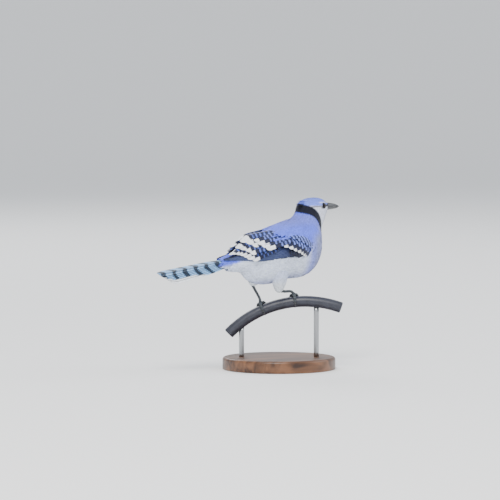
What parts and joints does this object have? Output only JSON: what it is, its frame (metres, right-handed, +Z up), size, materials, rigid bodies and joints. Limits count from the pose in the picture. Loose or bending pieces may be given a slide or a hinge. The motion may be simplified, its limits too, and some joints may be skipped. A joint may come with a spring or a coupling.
{
  "type": "blue jay",
  "caption": "Still life-size blue jay gripping a short bent rod, looking away to its left, on a plain round display stand.",
  "frame": {"origin": "centre of the round base's flat underside", "axes": "+X the way the bird's body faces, +Y its left, +Z up"},
  "size_m": [0.2518, 0.13, 0.1959],
  "materials": {
    "body_plumage": "soft overlapping feathers, lavender grey, whiter on the flank and under the tail",
    "crown_plumage": "fine lavender blue feathers with a black nape band and necklace",
    "wing_plumage": "smooth blue vanes barred black with white tips",
    "tail_plumage": "smooth pale blue vanes barred black with white corners",
    "horn": "smooth black horn with a soft shine",
    "eye": "wet dark brown, almost black",
    "leg_scale": "dark grey scaled skin",
    "perch_paint": "weathered satin black paint",
    "rod_steel": "satin steel",
    "base_wood": "dark oiled walnut, satin"
  },
  "bodies": {
    "root": {"torso": "body_plumage", "neck": "body_plumage", "head": "crown_plumage", "thigh_left": "body_plumage", "thigh_right": "body_plumage", "wing_left": "wing_plumage", "wing_right": "wing_plumage", "tail": "tail_plumage", "bill_upper": "horn", "bill_lower": "horn", "eye_left": "eye", "eye_right": "eye", "foot_left": "leg_scale", "foot_right": "leg_scale", "claw_left_inner": "horn", "claw_left_middle": "horn", "claw_left_outer": "horn", "claw_left_hind": "horn", "claw_right_inner": "horn", "claw_right_middle": "horn", "claw_right_outer": "horn", "claw_right_hind": "horn", "stand_perch": "perch_paint", "stand_rod_left": "rod_steel", "stand_rod_right": "rod_steel", "stand_base": "base_wood"}
  },
  "joints": []
}
